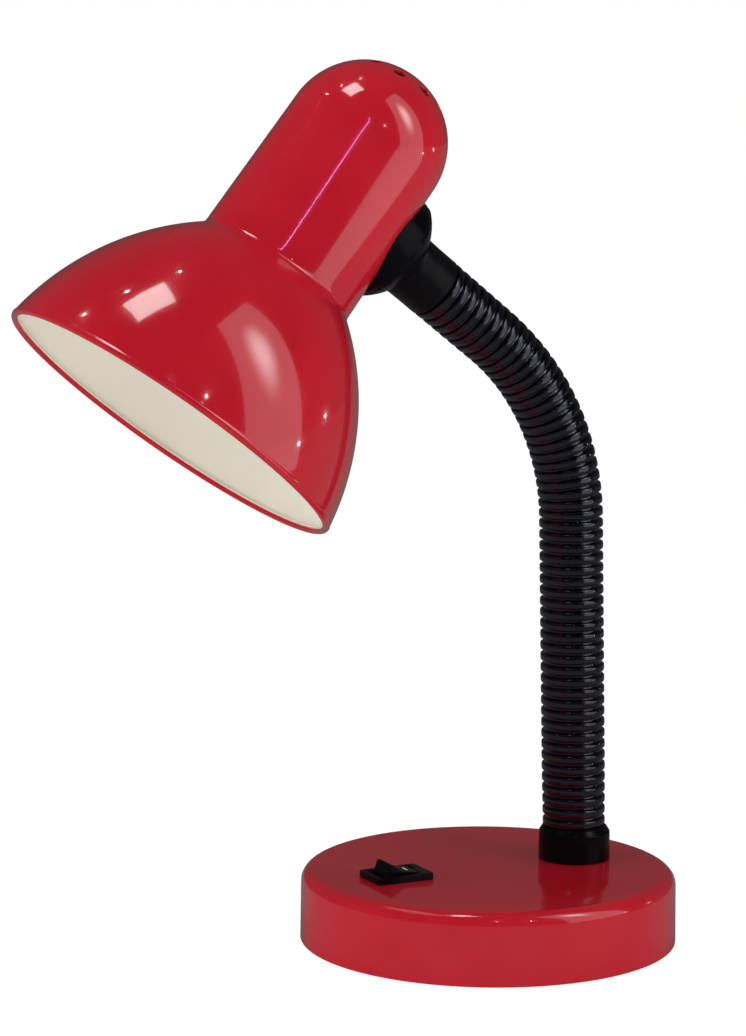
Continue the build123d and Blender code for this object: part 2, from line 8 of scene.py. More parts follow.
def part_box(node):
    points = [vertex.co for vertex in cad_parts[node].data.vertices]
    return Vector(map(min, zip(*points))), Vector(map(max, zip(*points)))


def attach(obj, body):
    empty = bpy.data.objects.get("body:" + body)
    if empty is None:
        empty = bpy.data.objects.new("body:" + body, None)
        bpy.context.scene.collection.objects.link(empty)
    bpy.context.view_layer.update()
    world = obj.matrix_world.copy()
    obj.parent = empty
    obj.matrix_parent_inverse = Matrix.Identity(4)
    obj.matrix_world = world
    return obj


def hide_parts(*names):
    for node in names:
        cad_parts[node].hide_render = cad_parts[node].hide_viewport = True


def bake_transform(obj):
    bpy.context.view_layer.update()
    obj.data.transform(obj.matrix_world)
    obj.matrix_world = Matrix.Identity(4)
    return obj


# Gooseneck desk lamp. Lengths below are millimetres, and MM turns them into metres.
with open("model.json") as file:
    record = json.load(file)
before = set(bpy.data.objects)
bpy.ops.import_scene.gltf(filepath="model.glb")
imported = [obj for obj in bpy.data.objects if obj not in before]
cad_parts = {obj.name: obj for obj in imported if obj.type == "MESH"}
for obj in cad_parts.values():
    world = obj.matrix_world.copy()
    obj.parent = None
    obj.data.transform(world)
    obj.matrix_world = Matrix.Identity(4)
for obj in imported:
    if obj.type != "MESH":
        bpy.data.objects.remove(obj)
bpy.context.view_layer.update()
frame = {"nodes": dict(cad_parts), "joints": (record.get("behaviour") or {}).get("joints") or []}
MM = 0.001
nodes = frame["nodes"]


# ================= places read from the frame =================
def joint_named(name):
    """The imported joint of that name."""
    return next(j for j in frame["joints"] if j["name"] == name)


def box_mm(node):
    """A CAD node's lowest and highest corners in millimetres."""
    low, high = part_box(node)
    return low / MM, high / MM


light_direction = Vector(joint_named("bulb_removal")["axis"]).normalized()
shade_axis = -light_direction
across = Vector((1, 0, 0))
neck_side = shade_axis.cross(across)                 # from the shade's axis towards the neck
bead_radius = 1.4
bead_circle = 65.7
shade_low = box_mm("shade")[0]
bead_centre = Vector((
    0,
    shade_low.y + bead_circle * neck_side.y + bead_radius,
    shade_low.z - bead_circle * neck_side.z + bead_radius,
))
rim_centre = bead_centre - shade_axis * bead_radius
base_low, base_high = box_mm("base_shell")
base_top = base_high.z
base_radius = (base_high.x - base_low.x) / 2
collar_low, collar_high = box_mm("base_collar")
neck_foot = Vector((0, (collar_low.y + collar_high.y) / 2, 30.0))
collar_top = collar_high.z
switch_low, switch_high = box_mm("switch_housing")
switch_y = (switch_low.y + switch_high.y) / 2

# sizes that the shapes below share
neck_station = 99.8
knuckle_station = 99.9
ferrule_end = 54.9
throat_radius = 30.4
throat_station = 66.5
crown_radius = 29.69
crown_station = 123.3
shade_wall = 1.0
bell_points = ((67.1, 0.0), (56.7, 34.0), (31.2, 65.7))
vent_count = 10
vent_radius = 2.3
vent_circle = 17.4
lining_station = 84.0                                # the cream ends here, out of sight
bezel_size = (16.4, 22.8)
window_size = (10.6, 15.0)
housing_size = (12.9, 19.2)
housing_bottom = 12.0
inlet_height = 14.5
neck_hole_radius = 5.4
neck_bend_radius = 91.0
neck_lean = math.radians(1.5)
rib_count = 54
sleeve_bore = 9.0
sleeve_tail = 10.5                                   # radius of the ends inside collar and ferrule
first_joint_rib = 3
ribs_per_link = 7


# ================= mesh helpers =================
def axis_matrix(origin, x_axis, z_axis):
    """A frame in millimetres with the given x and z axes, scaled to metres."""
    y_axis = z_axis.cross(x_axis)
    rotation = Matrix((x_axis, y_axis, z_axis)).transposed().to_4x4()
    return Matrix.Scale(MM, 4) @ Matrix.Translation(origin) @ rotation


head_frame = axis_matrix(rim_centre, across, shade_axis)
neck_anchor = rim_centre + shade_axis * neck_station
entry_frame = axis_matrix(neck_anchor, across, neck_side)
table_frame = Matrix.Scale(MM, 4)


def finish_mesh(bm, name, place, sharp_angle=35):
    """Turn a bmesh into a smooth-shaded object whose edges stay crisp above an angle."""
    bmesh.ops.transform(bm, matrix=place, verts=bm.verts)
    bmesh.ops.recalc_face_normals(bm, faces=bm.faces)
    limit = math.radians(sharp_angle)
    for face in bm.faces:
        face.smooth = True
    for edge in bm.edges:
        edge.smooth = len(edge.link_faces) == 2 and edge.calc_face_angle(0) < limit
    mesh = bpy.data.meshes.new(name)
    bm.to_mesh(mesh)
    bm.free()
    piece = bpy.data.objects.new(name, mesh)
    bpy.context.scene.collection.objects.link(piece)
    return piece


def arc(centre, radius, start, end, steps):
    """Points of an arc about (x, y), angles in degrees."""
    points = []
    for n in range(steps + 1):
        angle = math.radians(start + (end - start) * n / steps)
        points.append((centre[0] + radius * math.cos(angle), centre[1] + radius * math.sin(angle)))
    return points


def rounded(points, radius, steps=5):
    """A closed outline with every corner rounded; radius is one number or one per corner."""
    count = len(points)
    radii = [radius] * count if isinstance(radius, (int, float)) else list(radius)
    out = []
    for n, corner in enumerate(points):
        here = Vector(corner)
        back = Vector(points[n - 1]) - here
        on = Vector(points[(n + 1) % count]) - here
        if radii[n] <= 0:
            out.append(tuple(here))
            continue
        half = back.angle(on) / 2
        reach = radii[n] / math.tan(half)
        centre = here + (back.normalized() + on.normalized()).normalized() * (radii[n] / math.sin(half))
        first = here + back.normalized() * reach - centre
        last = here + on.normalized() * reach - centre
        turn = first.angle_signed(last)
        for k in range(steps + 1):
            angle = -turn * k / steps
            c, s = math.cos(angle), math.sin(angle)
            out.append((centre.x + first.x * c - first.y * s, centre.y + first.x * s + first.y * c))
    return out


def lathe(name, outline, place, segments=128, sharp_angle=35, closed=True):
    """Revolve an outline of (radius, height) points about the frame's z axis."""
    bm = bmesh.new()
    rings = []
    for radius, height in outline:
        if radius < 1e-6:
            rings.append([bm.verts.new((0, 0, height))])
            continue
        ring = []
        for k in range(segments):
            angle = 2 * math.pi * k / segments
            ring.append(bm.verts.new((radius * math.cos(angle), radius * math.sin(angle), height)))
        rings.append(ring)
    pairs = list(zip(rings, rings[1:]))
    if closed:
        pairs.append((rings[-1], rings[0]))
    for low, high in pairs:
        for k in range(segments):
            corners = [low[k % len(low)], low[(k + 1) % len(low)]]
            corners += [high[(k + 1) % len(high)], high[k % len(high)]]
            distinct = list(dict.fromkeys(corners))
            if len(distinct) > 2:
                bm.faces.new(distinct)
    return finish_mesh(bm, name, place, sharp_angle)


def prism(name, outline, low, high, place, bevel=0.0, sharp_angle=35):
    """Extrude an outline of (x, y) points from height low to high, with its end edges bevelled."""
    bm = bmesh.new()
    bottom = [bm.verts.new((x, y, low)) for x, y in outline]
    top = [bm.verts.new((x, y, high)) for x, y in outline]
    bm.faces.new(bottom[::-1])
    bm.faces.new(top)
    for n in range(len(outline)):
        m = (n + 1) % len(outline)
        bm.faces.new((bottom[n], bottom[m], top[m], top[n]))
    if bevel > 0:
        ends = [e for e in bm.edges if abs(e.verts[0].co.z - e.verts[1].co.z) < 1e-6]
        bmesh.ops.bevel(bm, geom=ends, offset=bevel, segments=3, profile=0.5, affect="EDGES")
    return finish_mesh(bm, name, place, sharp_angle)


def rectangle(width, length, centre=(0, 0)):
    """Corner points of a rectangle."""
    x, y = centre
    w, h = width / 2, length / 2
    return [(x - w, y - h), (x + w, y - h), (x + w, y + h), (x - w, y + h)]


def cut(piece, *tools):
    """Take tools away from a piece, for good."""
    for tool in tools:
        change = piece.modifiers.new("cut", "BOOLEAN")
        change.operation = "DIFFERENCE"
        change.solver = "EXACT"
        change.object = tool
    bpy.context.view_layer.update()
    result = bpy.data.meshes.new_from_object(piece.evaluated_get(bpy.context.evaluated_depsgraph_get()))
    piece.modifiers.clear()
    piece.data = result
    result.name = piece.name
    for tool in tools:
        bpy.data.objects.remove(tool)
    return piece


def true_normals(piece, normal_at):
    """Shade a surface with its exact normals where a function of the place gives them."""
    mesh = piece.data
    normals = [corner.vector.copy() for corner in mesh.corner_normals]
    for face in mesh.polygons:
        for index in face.loop_indices:
            exact = normal_at(mesh.vertices[mesh.loops[index].vertex_index].co)
            if exact is None:
                continue
            facing = face.normal.dot(exact)
            if abs(facing) > 0.9:
                normals[index] = exact if facing > 0 else -exact
            else:
                normals[index] = face.normal.copy()
    mesh.normals_split_custom_set(normals)


def place_piece(piece, body, slot, material, *replaced):
    """Let a piece ride on a body, take the given material as its finish, and stand for CAD nodes, which it
    hides; slot is not used.
    """
    piece.data.materials.clear()
    piece.data.materials.append(material)
    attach(piece, body)
    if replaced:
        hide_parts(*replaced)
    return piece


# ================= materials =================
def new_material(name):
    """A material with a Principled shader, and its shader and node tree."""
    material = bpy.data.materials.new(name)
    material.use_nodes = True
    tree = material.node_tree
    return material, tree.nodes["Principled BSDF"], tree


def noise(tree, scale, detail=3.0):
    """A noise texture fixed to the piece, in metres."""
    coordinates = tree.nodes.new("ShaderNodeTexCoord")
    texture = tree.nodes.new("ShaderNodeTexNoise")
    texture.inputs["Scale"].default_value = scale
    texture.inputs["Detail"].default_value = detail
    texture.inputs["Roughness"].default_value = 0.5
    tree.links.new(coordinates.outputs["Object"], texture.inputs["Vector"])
    return texture.outputs["Fac"]


def spread(tree, value, low, high, start=0.35, end=0.65):
    """Map a pattern's middle range onto low to high."""
    span = tree.nodes.new("ShaderNodeMapRange")
    span.inputs["From Min"].default_value = start
    span.inputs["From Max"].default_value = end
    span.inputs["To Min"].default_value = low
    span.inputs["To Max"].default_value = high
    tree.links.new(value, span.inputs["Value"])
    return span.outputs["Result"]


def blend_colours(tree, value, first, second):
    """Mix two colours by a pattern."""
    mix = tree.nodes.new("ShaderNodeMix")
    mix.data_type = "RGBA"
    mix.inputs["A"].default_value = (*first, 1)
    mix.inputs["B"].default_value = (*second, 1)
    tree.links.new(value, mix.inputs["Factor"])
    return mix.outputs["Result"]


def bump(tree, shader, height, distance):
    """Raise a surface by a pattern, to a depth in metres."""
    node = tree.nodes.new("ShaderNodeBump")
    node.inputs["Strength"].default_value = 1.0
    node.inputs["Distance"].default_value = distance
    tree.links.new(height, node.inputs["Height"])
    tree.links.new(node.outputs["Normal"], shader.inputs["Normal"])


def surface(
    name, first, second, rough, bump_depth, scale, metallic=0.0, coat=0.0, grain=900.0, shine=0.5
):
    """A painted, moulded or metal surface: mottled colour, uneven gloss and a fine grain."""
    material, shader, tree = new_material(name)
    mottle = spread(tree, noise(tree, scale), 0.0, 1.0)
    tree.links.new(blend_colours(tree, mottle, first, second), shader.inputs["Base Color"])
    gloss = spread(tree, noise(tree, scale * 2.3, 4.0), rough[0], rough[1])
    tree.links.new(gloss, shader.inputs["Roughness"])
    shader.inputs["Metallic"].default_value = metallic
    shader.inputs["Specular IOR Level"].default_value = shine
    shader.inputs["Coat Weight"].default_value = coat
    shader.inputs["Coat Roughness"].default_value = 0.03
    bump(tree, shader, noise(tree, grain, 2.0), bump_depth)
    return material


enamel = surface(
    "red_enamel", (0.50, 0.008, 0.020), (0.54, 0.011, 0.024),
    (0.10, 0.16), 0.0000012, 30, coat=1.0, grain=420,
)
lining = surface(
    "cream_lining", (0.84, 0.80, 0.70), (0.88, 0.84, 0.745), (0.42, 0.52), 0.000004, 25, grain=700
)
black_gloss = surface(
    "black_gloss", (0.0016, 0.0016, 0.0026), (0.0030, 0.0030, 0.0044),
    (0.14, 0.24), 0.000003, 60, grain=600, shine=0.11,
)
black_satin = surface(
    "black_satin", (0.0020, 0.0020, 0.0032), (0.0038, 0.0038, 0.0054),
    (0.28, 0.38), 0.000010, 90, grain=1400, shine=0.16,
)
sleeve_black = surface(
    "sleeve_black", (0.0012, 0.0012, 0.0028), (0.0028, 0.0028, 0.0052),
    (0.07, 0.14), 0.000005, 140, grain=1100, shine=1.0,
)
sleeve_shader = sleeve_black.node_tree.nodes["Principled BSDF"]
sleeve_shader.inputs["Specular Tint"].default_value = (0.84, 0.87, 1.0, 1)
steel = surface(
    "zinc_steel", (0.50, 0.50, 0.51), (0.60, 0.60, 0.59), (0.28, 0.42), 0.000004, 120, metallic=1.0
)
iron = surface("cast_iron", (0.05, 0.05, 0.052), (0.09, 0.09, 0.09), (0.55, 0.75), 0.00012, 120, grain=400)
foam = surface("foam_pad", (0.018, 0.018, 0.018), (0.03, 0.03, 0.03), (0.85, 0.95), 0.00015, 200, grain=1500)
brass = surface("brass", (0.72, 0.50, 0.20), (0.80, 0.58, 0.27), (0.22, 0.34), 0.000004, 90, metallic=1.0)
aluminium = surface(
    "aluminium", (0.72, 0.72, 0.73), (0.80, 0.80, 0.80), (0.24, 0.36), 0.000004, 110, metallic=1.0
)
pale_nylon = surface("pale_nylon", (0.66, 0.63, 0.55), (0.72, 0.69, 0.62), (0.45, 0.55), 0.00001, 60)
wire_black = surface("wire_black", (0.012, 0.012, 0.013), (0.02, 0.02, 0.021), (0.40, 0.50), 0.00001, 90)
bulb_black = surface("vitrite", (0.01, 0.01, 0.011), (0.02, 0.02, 0.021), (0.08, 0.14), 0.000003, 90)
white_print = surface("white_print", (0.74, 0.75, 0.76), (0.80, 0.81, 0.82), (0.40, 0.50), 0.000003, 200)
tungsten = surface(
    "tungsten", (0.20, 0.20, 0.21), (0.28, 0.28, 0.29), (0.35, 0.45), 0.000003, 200, metallic=1.0
)


def opal_glass():
    """White-coated bulb glass: glossy outside, softly scattering."""
    material = surface(
        "opal_glass", (0.86, 0.85, 0.81), (0.90, 0.89, 0.85), (0.16, 0.24), 0.000003, 40, coat=0.6
    )
    shader = material.node_tree.nodes["Principled BSDF"]
    shader.inputs["Subsurface Weight"].default_value = 0.25
    shader.inputs["Subsurface Radius"].default_value = (0.004, 0.004, 0.0035)
    return material


def clear_glass():
    """The bulb's inner stem."""
    material, shader, tree = new_material("clear_glass")
    shader.inputs["Base Color"].default_value = (0.95, 0.97, 0.96, 1)
    shader.inputs["Transmission Weight"].default_value = 1.0
    shader.inputs["IOR"].default_value = 1.5
    tree.links.new(spread(tree, noise(tree, 80), 0.02, 0.06), shader.inputs["Roughness"])
    bump(tree, shader, noise(tree, 200), 0.00001)
    return material


opal = opal_glass()
glass = clear_glass()


# ================= shade =================
def circle_through(a, b, c):
    """Centre and radius of the circle through three points."""
    d = 2 * (a[0] * (b[1] - c[1]) + b[0] * (c[1] - a[1]) + c[0] * (a[1] - b[1]))
    squares = [p[0] ** 2 + p[1] ** 2 for p in (a, b, c)]
    x = (squares[0] * (b[1] - c[1]) + squares[1] * (c[1] - a[1]) + squares[2] * (a[1] - b[1])) / d
    y = (squares[0] * (c[0] - b[0]) + squares[1] * (a[0] - c[0]) + squares[2] * (b[0] - a[0])) / d
    return x, y, math.hypot(a[0] - x, a[1] - y)


bell_x, bell_y, bell_radius = circle_through(*bell_points)


def shade_side(inset, low_station):
    """One face of the shade's wall in section, from near the rim to the crown's top."""
    radius = bell_radius - inset
    start = math.degrees(math.asin((low_station - bell_y) / radius))
    throat = throat_radius - inset
    end = math.degrees(math.acos((throat - bell_x) / radius))
    bell = arc((bell_x, bell_y), radius, start, end, 30)
    crown = arc((0, crown_station), crown_radius - inset, 0, 90, 26)
    bell_end = Vector(bell[-1])
    wall = [tuple(bell_end.lerp(Vector(crown[0]), t / 14)) for t in range(1, 14)]
    crease = bell[:-1] + soften(bell[-2], bell[-1], wall[0], 1.7) + wall
    return crease + crown[:-1] + [(0, crown[-1][1])]


def soften(before, corner, after, reach):
    """A short curve in place of one corner of a section."""
    here = Vector(corner)
    first = here + (Vector(before) - here).normalized() * reach
    last = here + (Vector(after) - here).normalized() * reach
    points = []
    for n in range(9):
        t = n / 8
        points.append(tuple(first * (1 - t) ** 2 + here * 2 * t * (1 - t) + last * t ** 2))
    return points


def shade_normal(point):
    """The shade's outward direction at a point of its wall, or None near the rim and the crease."""
    radial = math.hypot(point.x, point.y)
    if point.z > crown_station:
        return (point - Vector((0, 0, crown_station))).normalized()
    if point.z < 2.7 or radial < 1e-3 or abs(point.z - throat_station) < 4.5:
        return None
    if point.z > throat_station:
        slope = (throat_radius - crown_radius) / (crown_station - throat_station)
        outward = Vector((1, slope))
    else:
        outward = Vector((radial - bell_x, point.z - bell_y))
    outward.normalize()
    return Vector((point.x / radial * outward.x, point.y / radial * outward.x, outward.y))


def make_shade():
    """Bell, cylinder and vented dome of one sheet, red outside and cream inside."""
    bead = arc((bead_circle, bead_radius), bead_radius, 40, -215, 20)
    outline = bead[::-1] + shade_side(0, 2.9) + shade_side(shade_wall, 2.6)[::-1]
    shell = lathe("shade_shell", outline, Matrix.Identity(4), 256, 30)
    tools = []
    rise = math.sqrt(crown_radius ** 2 - vent_circle ** 2)
    mouth = vent_radius + 0.3
    vent = [(0, -4), (vent_radius, -4), (vent_radius, -0.35), (mouth, 0.05), (mouth, 4), (0, 4)]
    for n in range(vent_count):
        around = math.radians(n * 360 / vent_count)
        spot = Vector((vent_circle * math.cos(around), vent_circle * math.sin(around), rise))
        turn = spot.to_track_quat("Z", "Y").to_matrix().to_4x4()
        hole = Matrix.Translation(spot + Vector((0, 0, crown_station))) @ turn
        tools.append(lathe(f"vent_{n}", vent, hole, 48, closed=False))
    side = Matrix.Translation((0, 0, neck_station)) @ Matrix.Rotation(math.radians(-90), 4, "X")
    tools.append(lathe("side_hole", [(0, 20), (7.6, 20), (7.6, 40), (0, 40)], side, 48, closed=False))
    cut(shell, *tools)
    shell.data.materials.append(enamel)
    shell.data.materials.append(lining)
    for face in shell.data.polygons:
        outward = face.center * 1
        outward.z = 0 if face.center.z < crown_station else face.center.z - crown_station
        inside = face.normal.dot(outward) < 0 and bead_radius * 1.1 < face.center.z < lining_station
        face.material_index = 1 if inside else 0
    true_normals(shell, shade_normal)
    shell.data.transform(head_frame)
    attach(shell, "head")
    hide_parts("shade")


make_shade()


# ================= knuckle and ferrule =================
def make_knuckle():
    """A half dome whose foot follows the shade's cylinder."""
    centre_y, radius, foot_radius, fillet = 17.3, 25.0, 20.6, 1.6
    rows = arc((0, centre_y), radius, 90 - 28, 90 - 54, 16)
    rows += arc((foot_radius - fillet, rows[-1][1] - 1.9), fillet, 45, 0, 5)
    bm = bmesh.new()
    segments = 96
    taper = (throat_radius - crown_radius) / (crown_station - throat_station)

    def wall_y(x, z):
        """Height of the middle of the shade's wall under a point of the foot."""
        wall = throat_radius - taper * (knuckle_station + z - throat_station) - 0.5
        return math.sqrt(wall ** 2 - x ** 2)

    def ring(rho, y=None):
        """A ring of points at one height, or following the wall where no height is given."""
        made = []
        for k in range(segments):
            angle = 2 * math.pi * k / segments
            x, z = rho * math.cos(angle), rho * math.sin(angle)
            made.append(bm.verts.new((x, wall_y(x, z) if y is None else y, knuckle_station + z)))
        return made

    rings = [ring(rho, y) for rho, y in rows]
    rings += [ring(foot_radius)]
    rings += [ring(rho) for rho in (16.0, 12.0, 8.0)]
    for low, high in zip(rings, rings[1:]):
        for k in range(segments):
            m = (k + 1) % segments
            bm.faces.new((low[k], low[m], high[m], high[k]))
    bm.faces.new(rings[0])
    bm.faces.new(rings[-1])
    piece = finish_mesh(bm, "knuckle_dome", head_frame, 50)
    place_piece(piece, "head", "black_gloss", black_gloss, "knuckle")


make_knuckle()

ferrule_outline = [(8.0, 38.6), (11.7, 38.6), (11.9, 40.5), (11.75, 47), (11.75, ferrule_end)]
ferrule_outline += [(10.8, ferrule_end), (10.8, ferrule_end - 5), (8.0, ferrule_end - 5)]
ferrule = lathe("ferrule", rounded(ferrule_outline, (0, 0, 0.5, 0, 0.55, 0.3, 0, 0)), entry_frame, 96)
place_piece(ferrule, "head", "black_gloss", black_satin, "head_ferrule")


# ================= neck sleeve =================
start_direction = Vector((0, -math.sin(neck_lean), math.cos(neck_lean)))
end_direction = -neck_side
gap = neck_anchor - neck_foot
run_up = (gap.y * end_direction.z - gap.z * end_direction.y) / (
    start_direction.y * end_direction.z - start_direction.z * end_direction.y
)
corner = neck_foot + start_direction * run_up
turn = start_direction.angle(end_direction)
tangent_length = neck_bend_radius * math.tan(turn / 2)
neck_start = neck_foot + start_direction * ((collar_top - neck_foot.z) / math.cos(neck_lean))
straight_length = (corner - neck_start).length - tangent_length
arc_end = straight_length + neck_bend_radius * turn
neck_length = arc_end + (neck_anchor - corner).length - tangent_length - ferrule_end
inward = Vector((0, -math.cos(neck_lean), -math.sin(neck_lean)))
bend_centre = neck_start + start_direction * straight_length + inward * neck_bend_radius
pitch = neck_length / rib_count


def neck_place(s):
    """Point and direction of the neck's centre line at distance s above the collar."""
    angle = min(max((s - straight_length) / neck_bend_radius, 0), turn)
    spin = Matrix.Rotation(angle, 3, "X")
    direction = spin @ start_direction
    if s <= straight_length:
        return neck_start + start_direction * s, direction
    if s >= arc_end:
        return neck_anchor - end_direction * (ferrule_end + neck_length - s), direction
    return bend_centre - (spin @ inward) * neck_bend_radius, direction


# half of one rib in section: distance from the groove's middle, and depth below the rib's crown
rib_section = (
    (0.0, 1.35), (0.42, 1.33), (0.60, 1.15), (0.70, 0.70), (0.80, 0.32), (0.98, 0.12), (1.30, 0.03)
)


def sleeve_radius(s):
    """The sleeve's radius over the ribs: a little slimmer in the bend and at its ends."""
    squeeze = 0.40 * math.exp(-((s - 190) / 30) ** 2)
    ends = 0.22 * math.exp(-(s / 14) ** 2) + 0.12 * math.exp(-((s - neck_length) / 14) ** 2)
    return 11.93 - squeeze - ends


def sleeve_rows(low, high):
    """Distances along the neck and radii of one stretch of ribs."""
    rows = []
    for rib in range(round(low / pitch), round(high / pitch)):
        start = rib * pitch
        half = list(rib_section)
        whole = half + [(pitch / 2, 0.0)] + [(pitch - d, h) for d, h in half[:0:-1]]
        rows += [(start + d, sleeve_radius(start + d) - h) for d, h in whole]
    end = round(high / pitch) * pitch
    rows.append((end, sleeve_radius(end) - rib_section[0][1]))
    return rows


def make_sleeve(index, low, high, second_body):
    """One stretch of the ribbed sleeve, from the middle of one link to the middle of the next."""
    outer = sleeve_rows(low, high)
    if index == 0:
        outer = [(-5.0, sleeve_tail), (-0.5, sleeve_tail)] + outer
    if second_body == "head":
        outer += [(neck_length + 0.5, sleeve_tail), (neck_length + 4.5, sleeve_tail)]
    low_s, high_s = outer[0][0], outer[-1][0]
    inner = [(high_s - (high_s - low_s) * n / 12, sleeve_bore) for n in range(13)]
    bm = bmesh.new()
    segments = 72
    rings = []
    for s, radius in outer + inner:
        point, direction = neck_place(s)
        side = direction.cross(across)
        ring = []
        for k in range(segments):
            angle = 2 * math.pi * k / segments
            out = across * radius * math.cos(angle) + side * radius * math.sin(angle)
            ring.append(bm.verts.new(point + out))
        rings.append(ring)
    for low_ring, high_ring in zip(rings, rings[1:] + rings[:1]):
        for k in range(segments):
            m = (k + 1) % segments
            bm.faces.new((low_ring[k], low_ring[m], high_ring[m], high_ring[k]))
    piece = finish_mesh(bm, f"sleeve_{index + 1}", table_frame, 60)
    piece.data.materials.append(sleeve_black)
    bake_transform(piece)
    replaced = [f"neck_sleeve_{index + 1}"]
    if second_body == "head":
        replaced.append(f"neck_sleeve_{index + 2}")
    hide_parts(*replaced)


neck_joints = [j for j in frame["joints"] if j["name"].startswith("neck_")]
for number, joint in enumerate(neck_joints):
    middle = (first_joint_rib + ribs_per_link * number + 0.5) * pitch
    low_end = 0.0 if number == 0 else middle - ribs_per_link / 2 * pitch
    last = number == len(neck_joints) - 1
    high_end = neck_length if last else middle + ribs_per_link / 2 * pitch
    make_sleeve(number, low_end, high_end, joint["child"])


# ================= base =================
base_edge = 5.0


def base_normal(point):
    """The base's outward direction at a point of its top, rounded edge or side."""
    radial = math.hypot(point.x, point.y)
    edge_centre = base_radius - 0.3 - base_edge
    if point.z > base_top - 0.01 and radial < edge_centre + 0.05:
        return Vector((0, 0, 1))
    if point.z < 1.5 or radial < edge_centre - 3:
        return None
    way = Vector((1, 0.3 / base_top))
    if point.z > base_top - base_edge and radial > edge_centre:
        way = Vector((radial - edge_centre, point.z - (base_top - base_edge)))
    way.normalize()
    return Vector((point.x / radial * way.x, point.y / radial * way.x, way.y))


def make_base():
    """The red shell: a shallow drum with a rounded top edge, and its hollow."""
    rim, wall = base_low.z, 2.0
    top_radius = base_radius - 0.3
    outline = [(0, base_top), (top_radius, base_top), (base_radius, rim), (base_radius - wall, rim)]
    outline += [(top_radius - wall, base_top - wall), (0, base_top - wall)]
    outline = rounded(outline, (0, base_edge, 0.5, 0.5, 3.0, 0), 12)
    shell = lathe("base_enamel", outline, Matrix.Identity(4), 256, 30, closed=False)
    opening = rectangle(*housing_size, (0, switch_y))
    housing = prism("cut_a", opening, base_top - 4, base_top + 2, Matrix.Identity(4))
    foot = Matrix.Translation((0, neck_foot.y, 0))
    bore = neck_hole_radius
    hole = lathe("cut_b", [(0, 20), (bore, 20), (bore, 30), (0, 30)], foot, 48, closed=False)
    inlet = Matrix.Translation((0, 0, inlet_height)) @ Matrix.Rotation(math.radians(-90), 4, "X")
    way = lathe("cut_c", [(0, 60), (5.05, 60), (5.05, 80), (0, 80)], inlet, 48, closed=False)
    cut(shell, housing, hole, way)
    true_normals(shell, base_normal)
    shell.data.transform(table_frame)
    place_piece(shell, "base", "red_enamel", enamel, "base_shell")


make_base()

collar_outline = [(neck_hole_radius, base_top), (13.5, base_top), (13.35, collar_top - 2.2)]
collar_outline += [(12.0, collar_top), (10.9, collar_top)]
collar_outline += [(10.9, base_top + 3), (neck_hole_radius, base_top + 3)]
collar_frame = axis_matrix(Vector((0, neck_foot.y, 0)), across, Vector((0, 0, 1)))
collar = lathe("collar", rounded(collar_outline, (0, 0.3, 0.9, 0.7, 0.2, 0, 0)), collar_frame, 96)
place_piece(collar, "base", "black_gloss", black_gloss, "base_collar")


# ================= switch =================
def make_switch():
    """Bezel and housing of the switch; make_rocker makes the rocker with its raised front half and printed
    bar.
    """
    top = switch_high.z
    centre = (0, switch_y)
    bezel_outline = rounded(rectangle(*bezel_size, centre), 1.0)
    bezel = prism("switch_bezel", bezel_outline, base_top, top, Matrix.Identity(4), 0.35)
    window = prism("cut_d", rectangle(*window_size, centre), base_top - 10, top + 2, Matrix.Identity(4))
    cut(bezel, window)
    bezel.data.transform(table_frame)
    place_piece(bezel, "base", "black_gloss", black_gloss)
    body_outline = rounded(rectangle(*housing_size, centre), 0.4)
    body = prism("switch_body", body_outline, housing_bottom, base_top, Matrix.Identity(4), 0.3)
    pocket = prism("cut_e", rectangle(*window_size, centre), 19, base_top + 2, Matrix.Identity(4))
    cut(body, pocket)
    body.data.transform(table_frame)
    place_piece(body, "base", "black_gloss", black_satin, "switch_housing")


def make_rocker():
    """The rocker in profile, extruded across and bevelled."""
    pivot = Vector(joint_named("rocker_tilt")["pos_m"]) / MM
    profile = [(-6.9, 1.8), (-5.4, 6.1), (-4.5, 6.4), (-0.4, 3.4)]
    profile += [(6.7, 2.3), (7.0, 1.5), (6.2, -3.5), (-6.2, -3.5)]
    outline = rounded(profile, (0.5, 0.4, 0.4, 2.5, 0.4, 0.3, 0.3, 0.3), 4)
    side_frame = axis_matrix(pivot, Vector((0, 1, 0)), Vector((1, 0, 0)))
    half = window_size[0] / 2 - 0.2
    rocker = prism("rocker_cap", outline, -half, half, side_frame, 0.3, 30)
    place_piece(rocker, "switch_rocker", "black_gloss", black_gloss, "rocker")
    slope = math.atan2(2.3 - 3.4, 6.7 + 0.4)
    spot = pivot + Vector((0, 3.4, 3.4 + 3.8 * math.tan(slope)))
    tilt = Matrix.Rotation(slope, 4, "X")
    bar_frame = Matrix.Scale(MM, 4) @ Matrix.Translation(spot) @ tilt
    bar = prism("rocker_mark", rounded(rectangle(3.4, 0.9), 0.3), -0.02, 0.05, bar_frame)
    place_piece(bar, "switch_rocker", "black_gloss", white_print)


make_switch()
make_rocker()

# ================= CAD nodes that show as they are =================
finishes = {
    "base_pad": foam,
    "base_cover": steel,
    "ballast_plate": iron,
    "cover_screws": steel,
    "inlet_bush": black_satin,
    "terminal_block": pale_nylon,
    "terminal_screws": brass,
    "switch_contacts": brass,
    "switch_wires": wire_black,
    "base_lead": wire_black,
    "head_wires": wire_black,
    "neck_nut": steel,
    "head_nut": steel,
    "holder_bracket": steel,
    "holder_nipple": steel,
    "holder_locknut": steel,
    "holder_cap": black_satin,
    "holder_body": black_satin,
    "holder_insert": black_satin,
    "screw_shell": brass,
    "centre_contact": brass,
    "bulb_glass": opal,
    "bulb_stem": glass,
    "bulb_filament": tungsten,
    "bulb_cap": aluminium,
    "bulb_contact": aluminium,
    "bulb_insulator": bulb_black,
}
for node_name in nodes:
    if node_name.startswith("neck_core"):
        finishes[node_name] = steel
    if node_name.startswith("neck_lead"):
        finishes[node_name] = wire_black
